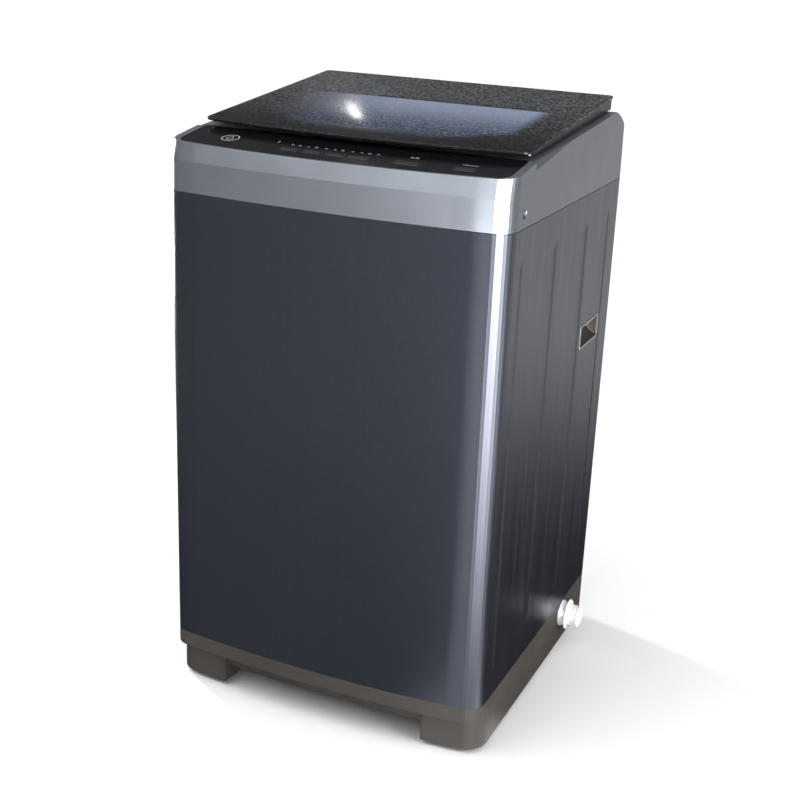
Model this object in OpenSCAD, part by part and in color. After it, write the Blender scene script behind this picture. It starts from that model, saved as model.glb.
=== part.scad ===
// Top load washing machine: sheet metal cabinet, hinged glass lid, hung tub, spinning basket and belt drive.
// Millimetres. Origin at floor level under the tub's axis, front towards -Y, up is +Z.

/* [Cabinet] */
// Width over the side walls
body_w = 540; // [538:1:548]
// Depth from the front corners to the rear wall
body_d = 530; // [528:1:538]
// How far the middle of the front stands out past its corners
front_bow = 16; // [12:1:20]
// Radius of the two front corners
front_r = 28; // [24:1:32]
// Radius of the two rear corners
rear_r = 10; // [8:1:12]
// Thickness of the cabinet sheet
sheet_t = 1.5; // [1:0.25:1.75]
// Depth of the pressed channels in the side walls
channel_d = 2; // [1.5:0.5:3.5]

/* [Heights] */
// Gap between the floor and the base, filled by the feet
foot_h = 8; // [8:1:10]
// Top of the plastic base
base_top = 88; // [86:1:90]
// Seam between the sheet and the top cover
seam_z = 815; // [814:1:818]
// Crease across the front band
crease_z = 861; // [856:1:866]
// Front edge of the sloping control panel
panel_z0 = 887; // [886:1:889]

/* [Lid] */
// Half of the lid's width
lid_half = 258; // [254:1:259]
// Rear edge of the lid
lid_rear = 220; // [218:1:221]
// Thickness of the lid's glass
glass_t = 4; // [3:0.5:5]
// Radius of the hinge pins
pin_r = 4; // [3:0.5:4.5]

/* [Tub and basket] */
// Outer radius of the fixed tub
tub_r = 240; // [236:1:240]
// Radius of the spinning basket
basket_r = 215; // [212:1:216]
// Rows of holes in the basket wall
basket_rows = 8; // [4:1:12]
// Columns of holes in the basket wall
basket_columns = 12; // [6:1:18]
// Radius of the pulsator
pulsator_r = 167; // [160:1:168]

/* [Drive] */
// Radius of the driven pulley at the belt
pulley_r = 68; // [60:1:70]
// Radius of the motor pulley at the belt
motor_pulley_r = 24; // [20:1:26]
// Teeth on the reducer's sun gear
sun_teeth = 18; // [18]
// Teeth on each planet gear
planet_teeth = 21; // [21]
// Tooth module of the reducer
gear_module = 1; // [1]

/* [Hidden] */

$fn = 64;
fine = 128;
half_w = body_w / 2;
rear_y = body_d / 2;
bow_r = (half_w * half_w + front_bow * front_bow) / (2 * front_bow);
bow_cy = bow_r - rear_y - front_bow;

// Sloping deck of the top cover, seen from the side as [y, z]
panel_y0 = -262;
panel_slope = 0.1524;
panel_angle = atan(panel_slope);
panel_rear = -172;
deck = [
  [-300, panel_z0 + panel_slope * (-300 - panel_y0)], [-180, 899.5], [206, 927.5], [222, 922.5],
  [243, 912.5], [256, 903], [263, 895], [300, 895]
];
deck_t = 3.5;
panel_t = 5;

// Mouth of the top cover, above the basket
mouth_w = 390;
mouth_front = -158;
mouth_rear = 128;
mouth_r = 70;
collar_z = 822;
well_half = 238;

// Lid, hinge axis and window
hinge = [212, 931];
lid_front = 89;
lid_low = [904, 0.0675];
lid_top = [912.5, 0.0982];
lid_y0 = -177;
lug_x = [225.2, 236.4];
boss_x = [206, 224.6];
window_half = 198;
window_y = [-145, 37];

// Keys on the panel as [x, y, width, depth]
keys = [
  [-78, -240, 25, 9], [-42, -240, 25, 9], [-6, -240, 25, 9], [30, -240, 25, 9],
  [104, -240, 34, 11], [188, -238, 26, 11]
];

// Detergent drawer opening in the rear wall of the mouth, as x and z ranges
drawer_x = [-118, -6];
drawer_z = [855.5, 897];

// Water inlet, through the rear wall of the top cover, as x and z
inlet = [120, 868];

// Suspension: four rods, one in each corner of the cabinet
rod = [208, 200];
bracket_z = 788;
rod_r = 4;
cap_z = 238;
ear_z = 318;

// Drive line levels
tub_floor = 240;
tub_rim = 757;
plate_z = 222;
belt_z = 95;
motor_xy = [-112, -116];
shaft_r = 7;
spin_shaft_r = 12;
run_gap = 0.06;
gear_z = 161;
planet_h = 16;
ring_teeth = sun_teeth + 2 * planet_teeth;
planet_orbit = gear_module * (sun_teeth + planet_teeth) / 2;

// Drain
drain = [138, 63];
valve = [120, 130, 205];

// Feet
front_foot = [215, -205];
rear_foot = [215, 215];

// Colours
steel_blue = [0.23, 0.245, 0.30];
silver = [0.60, 0.62, 0.66];
gloss_black = [0.03, 0.03, 0.04];
base_grey = [0.27, 0.25, 0.235];
zinc = [0.72, 0.73, 0.74];
grey_plastic = [0.62, 0.64, 0.66];
white_plastic = [0.92, 0.92, 0.91];

// ---------- outlines ----------

function arc(c, r, from, to, n) =
  [for (i = [0:n]) let (a = from + (to - from) * i / n) c + r * [cos(a), sin(a)]];
function tail(v) = [for (i = [1:len(v) - 1]) v[i]];

// Right half of a cabinet-shaped outline: bowed front set back by front, rounded corners, flat sides and rear
function outline_half(front, half, rear, corner_f, corner_r) =
  let (
    r = bow_r - front,
    a_end = asin((half - corner_f) / (r - corner_f)),
    centre_f = [half - corner_f, bow_cy - (r - corner_f) * cos(a_end)]
  )
  concat(
    [for (i = [0:10]) let (a = a_end * i / 10) [r * sin(a), bow_cy - r * cos(a)]],
    tail(arc(centre_f, corner_f, a_end - 90, 0, 8)),
    arc([half - corner_r, rear - corner_r], corner_r, 0, 90, 5)
  );
function mirrored(h) = concat(h, [for (i = [len(h) - 1:-1:1]) [-h[i][0], h[i][1]]]);
function outline(front, half, rear, corner_f, corner_r) =
  mirrored(outline_half(front, half, rear, corner_f, corner_r));
function plan(inset) =
  outline(inset, half_w - inset, rear_y - inset, max(front_r - inset, 6), max(rear_r - inset, 3));
function rounded(w, d, r) = concat(
  arc([w / 2 - r, d / 2 - r], r, 0, 90, 6), arc([r - w / 2, d / 2 - r], r, 90, 180, 6),
  arc([r - w / 2, r - d / 2], r, 180, 270, 6), arc([w / 2 - r, r - d / 2], r, 270, 360, 6)
);
function around(c, h) = [c - h, c + h];
function shifted(points, dz) = [for (p = points) [p[0], p[1] + dz]];

module prism(points, z0, z1) {
  translate([0, 0, z0])
    linear_extrude(z1 - z0)
      polygon(points);
}

module box(x, y, z) {
  translate([x[0], y[0], z[0]])
    cube([x[1] - x[0], y[1] - y[0], z[1] - z[0]]);
}

// A side view outline of [y, z] points, extruded along X
module along_x(x0, x1, points) {
  translate([x0, 0, 0])
    rotate([90, 0, 90])
      linear_extrude(x1 - x0)
        polygon(points);
}

module x_cylinder(x0, x1, y, z, r) {
  translate([x0, y, z])
    rotate([0, 90, 0])
      cylinder(h = x1 - x0, r = r);
}

module y_cylinder(y0, y1, x, z, r) {
  translate([x, y1, z])
    rotate([90, 0, 0])
      cylinder(h = y1 - y0, r = r);
}

module ring(r_out, r_in, z0, z1) {
  translate([0, 0, z0])
    difference() {
      cylinder(h = z1 - z0, r = r_out, $fn = fine);
      translate([0, 0, -1])
        cylinder(h = z1 - z0 + 2, r = r_in, $fn = fine);
    }
}

module turned(points) {
  rotate_extrude($fn = fine)
    polygon(points);
}

// A closed skin through cabinet outlines at levels of [z, inset of the front, inset of the sides and rear]
module loft(levels) {
  rings = [
    for (l = levels) let (s = l[2])
      [for (p = outline(l[1], half_w - s, rear_y - s, front_r - s, max(rear_r - s, 3))) [p[0], p[1], l[0]]]
  ];
  n = len(rings[0]);
  m = len(rings);
  polyhedron(
    points = [for (r = rings) each r],
    faces = concat(
      [[for (k = [0:n - 1]) k]],
      [for (j = [0:m - 2], k = [0:n - 1])
        [j * n + k, (j + 1) * n + k, (j + 1) * n + (k + 1) % n, j * n + (k + 1) % n]],
      [[for (k = [n - 1:-1:0]) (m - 1) * n + k]]
    )
  );
}

// A round tube of radius r along a path of points
module sweep(path, r, sides) {
  m = len(path);
  function along(i) = path[min(i + 1, m - 1)] - path[max(i - 1, 0)];
  function unit(v) = v / norm(v);
  rings = [
    for (i = [0:m - 1]) let (t = unit(along(i)), u = unit(cross(t, [0.05, 1, 0.02])), v = cross(t, u))
      [for (k = [0:sides - 1]) path[i] + r * (cos(360 * k / sides) * u + sin(360 * k / sides) * v)]
  ];
  polyhedron(
    points = [for (q = rings) each q],
    faces = concat(
      [[for (k = [sides - 1:-1:0]) k]],
      [for (j = [0:m - 2], k = [0:sides - 1])
        [j * sides + k, j * sides + (k + 1) % sides, (j + 1) * sides + (k + 1) % sides]],
      [for (j = [0:m - 2], k = [0:sides - 1])
        [j * sides + k, (j + 1) * sides + (k + 1) % sides, (j + 1) * sides + k]],
      [[for (k = [0:sides - 1]) (m - 1) * sides + k]]
    )
  );
}

module both_sides() {
  children();
  mirror([1, 0, 0])
    children();
}

module four_corners() {
  both_sides() {
    children();
    mirror([0, 1, 0])
      children();
  }
}

// ---------- cabinet ----------

// Side channels as [centre y, width]
channels = [[-215, 9], [-80, 42], [72, 42], [206, 9]];
channel_z = [132, 768];

// A trapezoid channel with sloped sides and ends, grown on every side by grow, from out past the wall's face
module channel(y, w, grow, out) {
  d = channel_d + grow;
  slope = min(2 * channel_d, 4);
  intersection() {
    translate([half_w, y, channel_z[0] - grow])
      linear_extrude(channel_z[1] - channel_z[0] + 2 * grow)
        polygon([
          [out, -w / 2 - grow], [out, w / 2 + grow], [-0.6, w / 2 + grow], [-d, w / 2 - slope + grow / 2],
          [-d, slope - w / 2 - grow / 2], [-0.6, -w / 2 - grow]
        ]);
    translate([half_w, y + w, 0])
      rotate([90, 0, 0])
        linear_extrude(2 * w)
          polygon([
            [out, channel_z[0] - grow], [out, channel_z[1] + grow], [-0.6, channel_z[1] + grow],
            [-d, channel_z[1] - 9 + grow], [-d, channel_z[0] + 9 - grow], [-0.6, channel_z[0] - grow]
          ]);
  }
}

screw_z = [120, 280, 440, 600, 755];
screw_x = 250;
gland = [110, 725];
handle = [150.6, 577.6];

module cabinet_shell() color(steel_blue) difference() {
  union() {
    difference() {
      prism(plan(0), base_top, seam_z);
      prism(plan(sheet_t), base_top - 1, seam_z + 1);
    }
    difference() {
      prism(plan(sheet_t / 2), base_top, base_top + sheet_t);
      prism(plan(12), base_top - 1, base_top + sheet_t + 1);
    }
    both_sides()
      for (c = channels)
        channel(c[0], c[1], sheet_t, -0.3);
  }
  both_sides() {
    for (c = channels)
      channel(c[0], c[1], 0, 1);
    box([half_w - 8, half_w + 5], around(handle[0], 48), around(handle[1], 19));
    for (z = screw_z)
      y_cylinder(rear_y - 5, rear_y + 5, screw_x, z, 2.2);
  }
  box([-235, 235], [255, rear_y + 5], [base_top - 5, seam_z + 5]);
}

module rear_panel() color([0.55, 0.56, 0.58]) difference() {
  union() {
    box([-260.5, 260.5], [262, 263.2], [base_top + 2, seam_z - 2]);
    for (x = [-165, -55, 55, 165])
      translate([x, 264.6, 0])
        rotate([90, 0, 0])
          linear_extrude(2)
            polygon(shifted(rounded(34, 560, 14), 460));
  }
  both_sides()
    for (z = screw_z)
      y_cylinder(255, 270, screw_x, z, 2.2);
  y_cylinder(255, 270, gland[0], gland[1], 7.5);
  for (x = [-110, 0, 110], z = [105:12:153])
    box([x - 22, x + 22], [255, 270], [z, z + 5]);
}

// Hollow block around a foot, open above
module foot_block(x, y) {
  difference() {
    box(x, y, [foot_h, base_top - 2]);
    box([x[0] + 3, x[1] - 1], [y[0] + 3, y[1] - 3], [foot_h + 4, base_top]);
  }
}

module base_frame() color(base_grey) difference() {
  union() {
    // strip under the sheet, all the way round
    difference() {
      prism(plan(0), 63, base_top);
      prism(plan(4), 62, 84);
      prism(rounded(456, 452, 40), 60, base_top + 1);
    }
    // walls below it, set back at the front
    difference() {
      prism(outline(14, half_w, rear_y, 35, rear_r), foot_h, 66);
      prism(outline(18, half_w - 4, rear_y - 4, 31, 6), foot_h - 1, 67);
      box([-178, 178], [-300, -200], [0, 70]);
    }
    // ledge that joins the strip to the set-back wall
    difference() {
      prism(plan(0.5), 63, 67);
      prism(outline(32, half_w - 3, rear_y - 3, 20, 8), 62, 68);
    }
    // kick wall between the front foot blocks
    intersection() {
      difference() {
        prism(outline(27, half_w - 1, rear_y, 20, 6), 34, 66);
        prism(outline(30, half_w - 4, rear_y - 4, 17, 5), 33, 67);
      }
      box([-182, 182], [-300, -200], [30, 70]);
    }
    intersection() {
      prism(outline(15, half_w - 1, rear_y - 1, 34, 9), foot_h, base_top - 2);
      both_sides() {
        foot_block([175, half_w], [-300, -176]);
        foot_block([175, half_w], [178, rear_y]);
      }
    }
    both_sides() {
      translate([front_foot[0], front_foot[1], foot_h])
        cylinder(h = 22, r = 10);
      translate([rear_foot[0], rear_foot[1], foot_h])
        cylinder(h = 16, r = 10);
    }
  }
  both_sides() {
    translate([front_foot[0], front_foot[1], 0])
      cylinder(h = 60, r = 5.4);
    translate([rear_foot[0], rear_foot[1], 0])
      cylinder(h = 20, r = 4.05);
  }
  x_cylinder(half_w - 12, half_w + 2, drain[0], drain[1], 21);
  box([220, half_w - 5], around(drain[0], 26), [60, base_top + 1]);
  // chamfer under the rear wall
  translate([0, rear_y, foot_h])
    rotate([45, 0, 0])
      cube([2 * body_w, 14, 14], center = true);
}

module suspension_brackets() color(zinc) difference() {
  intersection() {
    prism(plan(sheet_t + 0.3), bracket_z - 15, bracket_z + 4);
    box([-half_w, half_w], [-300, rear_y - 3.6], [bracket_z - 15, bracket_z + 4]);
  }
  intersection() {
    prism(plan(sheet_t + 2.8), bracket_z - 30, bracket_z);
    box([-half_w, half_w], [-300, rear_y - 6.2], [bracket_z - 30, bracket_z]);
  }
  // leaves a plate across each corner
  translate([0, 0, bracket_z])
    rotate([0, 0, 45])
      cube([523, 523, 80], center = true);
  four_corners()
    translate([rod[0], rod[1], bracket_z - 10])
      cylinder(h = 20, r = 6);
}

// ---------- top cover ----------

skin = [[seam_z, 1.2, 1.2], [seam_z + 1.2, 0, 0], [crease_z, 1.2, 0.4], [886, 7.6, 0.8], [940, 8.6, 1]];

// Everything under the deck line, lowered by drop
module under_deck(drop) {
  along_x(-300, 300, concat([[300, 780], [-300, 780]], shifted(deck, -drop)));
}

module mouth(grow) {
  translate([0, (mouth_front + mouth_rear) / 2, 0])
    linear_extrude(960)
      polygon(rounded(mouth_w + 2 * grow, mouth_rear - mouth_front + 2 * grow, mouth_r + grow));
}

module panel_slab(over, under, rear) {
  z0 = panel_z0 + panel_slope * (-300 - panel_y0);
  z1 = panel_z0 + panel_slope * (rear - panel_y0);
  along_x(-300, 300, [[-300, z0 - under], [rear, z1 - under], [rear, z1 + over], [-300, z0 + over]]);
}

// Finger recess along the top of each cheek, deep at the front and fading to the rear
module finger_recess() {
  a = [half_w - 0.8, -178, 889];
  b = [half_w - 7.5, -178, 906];
  c = [half_w - 0.9, 60, 923];
  out = [14, 0, 0];
  polyhedron(
    points = [a, b, c, a + out, b + out, c + out],
    faces = [[0, 1, 2], [5, 4, 3], [0, 3, 4, 1], [1, 4, 5, 2], [2, 5, 3, 0]]
  );
}

module top_cover() color(silver) difference() {
  union() {
    difference() {
      intersection() {
        loft(skin);
        under_deck(0);
      }
      difference() {
        intersection() {
          loft([[780, 3.2, 3.2], [crease_z, 4.4, 3.6], [886, 10.8, 4], [940, 11.8, 4.2]]);
          under_deck(deck_t);
        }
        // thicker deck around the panel, and solid cheeks beside the rear well
        difference() {
          box([-300, 300], [-300, -166], [800, 960]);
          panel_slab(-10, 200, -160);
        }
      }
    }
    // lip inside the sheet
    difference() {
      prism(plan(sheet_t + 0.3), seam_z - 9, seam_z + 3);
      prism(plan(sheet_t + 3), seam_z - 10, seam_z + 4);
    }
    intersection() {
      union() {
        difference() {
          mouth(3);
          translate([0, 0, -1])
            mouth(0);
        }
        both_sides()
          box([well_half, well_half + 3], [mouth_rear, 257], [collar_z, 960]);
        box([-well_half, well_half], [mouth_rear, mouth_rear + 3], [collar_z, 960]);
      }
      under_deck(0);
      box([-300, 300], [-300, 300], [collar_z, 960]);
      loft([[780, 1, 1], [886, 8, 2], [940, 9, 2.2]]);
    }
  }
  mouth(0);
  box([-well_half, well_half], [mouth_rear + 3, 253.8], [800, 960]);
  intersection() {
    prism(outline(11.7, half_w - 12.7, panel_rear + 0.3, 18.3, 2), 860, 930);
    panel_slab(30, panel_t + 0.7, panel_rear + 0.3);
  }
  box([-236, 236], [-250, -186], [840, 960]);
  both_sides() {
    x_cylinder(half_w - 20, half_w + 5, -215, 836, 7.6);
    finger_recess();
  }
  box(drawer_x, [mouth_rear - 2, mouth_rear + 5], drawer_z);
  y_cylinder(240, 280, inlet[0], inlet[1], 14.5);
  // room for the rear panel's top edge
  box([-262, 262], [255, 270], [seam_z - 12, seam_z]);
}

module rear_top_cover() color(silver) difference() {
  union() {
    intersection() {
      along_x(0.5 - well_half, well_half - 0.5, concat(
        [[300, 884], [100, 884], [100, 918.8]], [for (p = deck) if (p[0] > 0) p - [0, 1]]
      ));
      box([-300, 300], [mouth_rear + 3.5, 253.3], [884, 930]);
    }
    both_sides()
      hull() {
        x_cylinder(boss_x[0], boss_x[1], hinge[0], hinge[1], 6.5);
        box(boss_x, around(hinge[0], 6.5), [912, 914]);
      }
  }
  along_x(3 - well_half, well_half - 3, concat(
    [[251, 870], [mouth_rear + 6, 870]],
    [[mouth_rear + 6, 917], [206, 923], [222, 918.5], [243, 908.5], [251, 901]]
  ));
  // room for the detergent drawer
  box([drawer_x[0] - 4, drawer_x[1] + 4], [mouth_rear, mouth_rear + 8], [870, drawer_z[1] + 4]);
  both_sides() {
    x_cylinder(boss_x[0] + 2, boss_x[1] + 1, hinge[0], hinge[1], pin_r + 0.03);
    x_cylinder(boss_x[1], well_half + 1, hinge[0], hinge[1], 9);
  }
}

module hinge_pins() color(zinc) both_sides()
  x_cylinder(boss_x[0] + 2.5, lug_x[1] - 0.5, hinge[0], hinge[1], pin_r);

module cover_plugs() color(silver) both_sides() {
  x_cylinder(half_w - 7.5, half_w - 1.5, -215, 836, 7.4);
  x_cylinder(half_w - 7.5, half_w - 4.4, -215, 836, 9.5);
}

// ---------- control panel ----------

// Places children on the sloping panel at x and y, with Z square to it
module on_panel(x, y) {
  translate([x, y, panel_z0 + panel_slope * (y - panel_y0)])
    rotate([panel_angle, 0, 0])
      children();
}

module control_panel() color(gloss_black) {
  difference() {
    intersection() {
      prism(outline(12, half_w - 13, panel_rear, 18, 1.7), 860, 930);
      panel_slab(-0.3, panel_t + 0.4, panel_rear);
    }
    for (k = keys)
      on_panel(k[0], k[1])
        prism(rounded(k[2] + 0.7, k[3] + 0.7, 2.85), -9, 3);
  }
  for (x = [-222, -130, 68, 222], y = [-200])
    on_panel(x, y)
      translate([0, 0, -12])
        cylinder(h = 7.2, r = 3.5);
}

module key(k) color([0.09, 0.09, 0.10]) on_panel(k[0], k[1]) {
  prism(rounded(k[2], k[3], 2.5), -6.2, -0.05);
  prism(rounded(k[2] + 2.6, k[3] + 2, 3), -7.2, -6.1);
  translate([0, 0, -9.6])
    cylinder(h = 3, r = 1.8);
}
module program_key() key(keys[0]);
module level_key() key(keys[1]);
module rinse_key() key(keys[2]);
module spin_key() key(keys[3]);
module start_key() key(keys[4]);
module power_key() key(keys[5]);

module control_board() color([0.05, 0.30, 0.14]) on_panel(0, -218) {
  box([-228, 228], [-27, 26], [-13.6, -12]);
  for (k = keys)
    box([k[0] - 3, k[0] + 3], [k[1] + 218 - 3.5, k[1] + 218 + 3.5], [-12.1, -10.7]);
  for (x = [-190, -165, -140])
    box([x - 9, x + 9], [0, 15], [-29, -13.6]);
  for (x = [-100:22:-34])
    translate([x, 10, -24])
      cylinder(h = 11, r = 5);
  box([50, 92], [-6, 24], [-33, -13.6]);
  box([110, 126], [-10, 12], [-18, -13.6]);
  for (x = [150, 172, 194])
    box([x - 8, x + 8], [10, 22], [-23, -13.6]);
  for (x = [-100:9:170])
    box([x - 1.5, x + 1.5], [4, 6.5], [-12.1, -10.9]);
}

// ---------- water inlet and dispenser ----------

module inlet_valve() color(white_plastic) {
  difference() {
    union() {
      box(around(inlet[0], 22), [206, 240], [848, 888]);
      y_cylinder(239, 249, inlet[0], inlet[1], 16);
      y_cylinder(248, 265.5, inlet[0], inlet[1], 14.2);
      y_cylinder(265, 282, inlet[0], inlet[1], 13.2);
      for (z = [858, 878])
        box([inlet[0] - 20, inlet[0] - 2], [190, 207], around(z, 7));
    }
    y_cylinder(225, 290, inlet[0], inlet[1], 9);
  }
  x_cylinder(inlet[0] - 24.2, inlet[0] - 21, 222, inlet[1], 6);
}

module dispenser_housing() color(grey_plastic) difference() {
  union() {
    box([drawer_x[0] - 2.5, drawer_x[1] + 2.5], [mouth_rear + 5, 240], [852.5, 900]);
    x_cylinder(drawer_x[1], inlet[0] - 24.5, 222, inlet[1], 9);
  }
  box([drawer_x[0] + 0.5, drawer_x[1] - 0.5], [mouth_rear, 237], drawer_z);
  x_cylinder(drawer_x[1] - 6, inlet[0] - 24, 222, inlet[1], 7);
  box([drawer_x[1] - 48, drawer_x[1] - 16], [mouth_rear + 8, mouth_rear + 20], [850, 860]);
}

// Drawer with a powder tray, a softener tray and a front plate with a thumb notch
module detergent_drawer() color(white_plastic) difference() {
  x = drawer_x;
  union() {
    box([x[0] + 4, x[1] - 4], [mouth_rear + 2, 233], [856, 889]);
    box([x[0] + 1.5, x[1] - 1.5], [mouth_rear - 2, mouth_rear + 3], [856.5, 895.5]);
  }
  box([x[0] + 6.5, x[1] - 52], [mouth_rear + 6, 230.5], [858.5, 900]);
  box([x[1] - 49.5, x[1] - 6.5], [mouth_rear + 6, 230.5], [858.5, 900]);
  y_cylinder(mouth_rear - 5, mouth_rear + 1, (x[0] + x[1]) / 2, 899, 14);
}

// ---------- small cabinet parts ----------

module side_handles() color([0.33, 0.30, 0.27]) both_sides() difference() {
  union() {
    box([half_w - 26, half_w + 0.2], around(handle[0], 47), around(handle[1], 18));
    translate([half_w + 0.1, handle[0], handle[1]])
      rotate([90, 0, 90])
        linear_extrude(1)
          polygon(rounded(97.5, 39.5, 3));
  }
  translate([half_w - 24, handle[0] - 45, 0])
    rotate([-90, 0, 0])
      mirror([0, 1, 0])
        linear_extrude(90)
          polygon([
            [40, handle[1] - 16], [40, handle[1] + 16], [16, handle[1] + 16], [0, handle[1] + 14],
            [0, handle[1] + 2], [16, handle[1] - 16]
          ]);
}

module drain_outlet() color(white_plastic)
translate([half_w, drain[0], drain[1]])
rotate([0, 90, 0])
difference() {
  union() {
    translate([0, 0, -8])
      cylinder(h = 10, r = 20.6);
    translate([0, 0, 1])
      cylinder(h = 12, r1 = 23, r2 = 18);
    translate([0, 0, 12])
      cylinder(h = 3, r = 26.5);
    translate([0, 0, 15])
      cylinder(h = 19, r = 19);
  }
  translate([0, 0, -9])
    cylinder(h = 50, r = 14);
}

module rear_feet() color([0.08, 0.08, 0.08]) both_sides() translate([rear_foot[0], rear_foot[1], 0]) {
  cylinder(h = foot_h, r = 18);
  cylinder(h = foot_h + 10, r = 4);
}

module adjustable_foot(side) color([0.10, 0.10, 0.10]) translate([side * front_foot[0], front_foot[1], 0]) {
  cylinder(h = foot_h - 0.4, r = 19);
  cylinder(h = 46, r = 5);
}
module foot_left() adjustable_foot(-1);
module foot_right() adjustable_foot(1);

module suspension_rods() color(zinc) four_corners() translate([rod[0], rod[1], 0]) {
  translate([0, 0, 226])
    cylinder(h = bracket_z - 214, r = rod_r);
  translate([0, 0, 228])
    cylinder(h = 7, r = 7, $fn = 6);
  translate([0, 0, cap_z - 3.5])
    cylinder(h = 9.5, r = 16.5);
  translate([0, 0, bracket_z + 4])
    cylinder(h = 8, r1 = 13, r2 = 8);
}

module pressure_sensor() color([0.15, 0.15, 0.16]) {
  translate([-222, 60, 838])
    cylinder(h = 16, r = 20);
  translate([-222, 60, 826])
    cylinder(h = 13, r = 3);
  box([-206, -198.1], [48, 72], [840, 862]);
}

module cord_gland() color([0.06, 0.06, 0.06]) difference() {
  union() {
    y_cylinder(252, 268, gland[0], gland[1], 7.3);
    y_cylinder(263.3, 268, gland[0], gland[1], 11);
    y_cylinder(257, 261.9, gland[0], gland[1], 10);
  }
  y_cylinder(250, 270, gland[0], gland[1], 4);
}

module rear_screws() color(zinc) both_sides() for (z = screw_z) {
  y_cylinder(254, rear_y + 0.5, screw_x, z, 1.9);
  y_cylinder(rear_y + 0.05, rear_y + 2.4, screw_x, z, 4.2);
}

// ---------- lid ----------

function lid_line(line, y) = line[0] + line[1] * (y - lid_y0);

// The lid between two lines of its side view
module lid_slab(low, low_off, top, top_off, rear_low, rear_top) {
  along_x(-300, 300, [
    [-230, lid_line(low, -230) + low_off], [rear_low, lid_line(low, rear_low) + low_off],
    [rear_top, lid_line(top, rear_top) + top_off], [-230, lid_line(top, -230) + top_off]
  ]);
}

module lid_glass() color([0.10, 0.10, 0.11]) intersection() {
  prism(outline(lid_front, lid_half, lid_rear, 12, 8), 880, 980);
  lid_slab(lid_top, -glass_t, lid_top, 0, 300, 300);
}

module lid_window(grow) {
  translate([0, (window_y[0] + window_y[1]) / 2, 0])
    linear_extrude(980)
      polygon(rounded(2 * window_half + 2 * grow, window_y[1] - window_y[0] + 2 * grow, 25 + grow));
}

module lid_frame() color(gloss_black) difference() {
  union() {
    intersection() {
      prism(outline(lid_front + 15, lid_half - 1.5, lid_rear - 2, 8, 7), 880, 980);
      lid_slab(lid_low, 0, lid_top, -glass_t - 0.05, lid_rear - 8, lid_rear - 2);
      difference() {
        box([-300, 300], [-300, 300], [880, 980]);
        // hollow underside, with a rim round the window
        difference() {
          intersection() {
            prism(outline(lid_front + 18, lid_half - 4.5, lid_rear - 9, 5, 5), 870, 990);
            lid_slab(lid_low, -50, lid_top, -glass_t - 2.5, 400, 400);
          }
          lid_window(3);
        }
      }
    }
    both_sides()
      intersection() {
        hull() {
          x_cylinder(lug_x[0], lug_x[1], hinge[0], hinge[1], 7);
          box(lug_x, [hinge[0] - 16, hinge[0] + 3], [940, 944]);
        }
        box([200, 250], [180, 230], [900, 945]);
      }
  }
  lid_window(0);
  both_sides() {
    x_cylinder(lug_x[0] - 1, lug_x[1] + 1, hinge[0], hinge[1], pin_r + run_gap);
    box([boss_x[0] - 4, boss_x[1] + 0.6], [hinge[0] - 10, 240], [900, 942.5]);
  }
}

// ---------- tub ----------

module tub_ear() {
  translate([0, 0, ear_z])
    linear_extrude(12)
      polygon(concat([[tub_r - 2, -17]], arc([norm(rod), 0], 19, -90, 90, 10), [[tub_r - 2, 17]]));
  translate([0, 3, 0])
    rotate([90, 0, 0])
      linear_extrude(6)
        polygon([[tub_r - 1.5, 262], [tub_r + 22, ear_z + 1], [tub_r - 1.5, ear_z + 1]]);
}

module outer_tub() color(white_plastic) difference() {
  union() {
    ring(tub_r, tub_r - 3, tub_floor, tub_rim);
    ring(tub_r + 8, tub_r - 2, tub_rim - 6, tub_rim);
    ring(tub_r - 1, 24.1, tub_floor, tub_floor + 5);
    for (a = [0:30:330])
      rotate([0, 0, a])
        box([64, tub_r - 4], [-1.5, 1.5], [tub_floor - 10, tub_floor + 1]);
    for (z = [420, 560, 690])
      ring(tub_r + 4, tub_r - 2, z, z + 3);
    four_corners()
      rotate([0, 0, atan2(rod[1], rod[0])])
        tub_ear();
  }
  four_corners()
    translate([rod[0], rod[1], ear_z - 5])
      cylinder(h = 30, r = 6);
  translate([valve[0], valve[1], tub_floor - 20])
    cylinder(h = 30, r = 14);
  translate([valve[0], valve[1], tub_floor - 20])
    cylinder(h = 20, r = 20);
}

module tub_cover_ring() color(grey_plastic) turned([
  [tub_r + 4, tub_rim + 0.2], [tub_r + 8, tub_rim + 0.2], [tub_r + 8, 765], [tub_r + 3, 769],
  [tub_r + 3, 786],
  [tub_r - 1, 790], [199, 790], [193, 784], [193, 774], [196, 774], [196, 782.5],
  [200, 787], [tub_r - 2, 787],
  [tub_r, 785], [tub_r, 767], [tub_r + 4, 763]
]);

spacer = [100, 95];

module mounting_plate() color(zinc) difference() {
  union() {
    prism(rounded(310, 320, 30), plate_z, plate_z + 4);
    four_corners()
      translate([spacer[0], spacer[1], plate_z + 3])
        cylinder(h = tub_floor - plate_z - 3, r = 9);
  }
  box([76, 200], [102, 200], [200, 260]);
  translate([0, 0, plate_z - 1])
    cylinder(h = 8, r = 27);
  for (x = [-110, 110])
    translate([x, 0, plate_z - 1])
      cylinder(h = 8, r = 16);
  translate([0, -120, plate_z - 1])
    cylinder(h = 8, r = 16);
}

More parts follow.
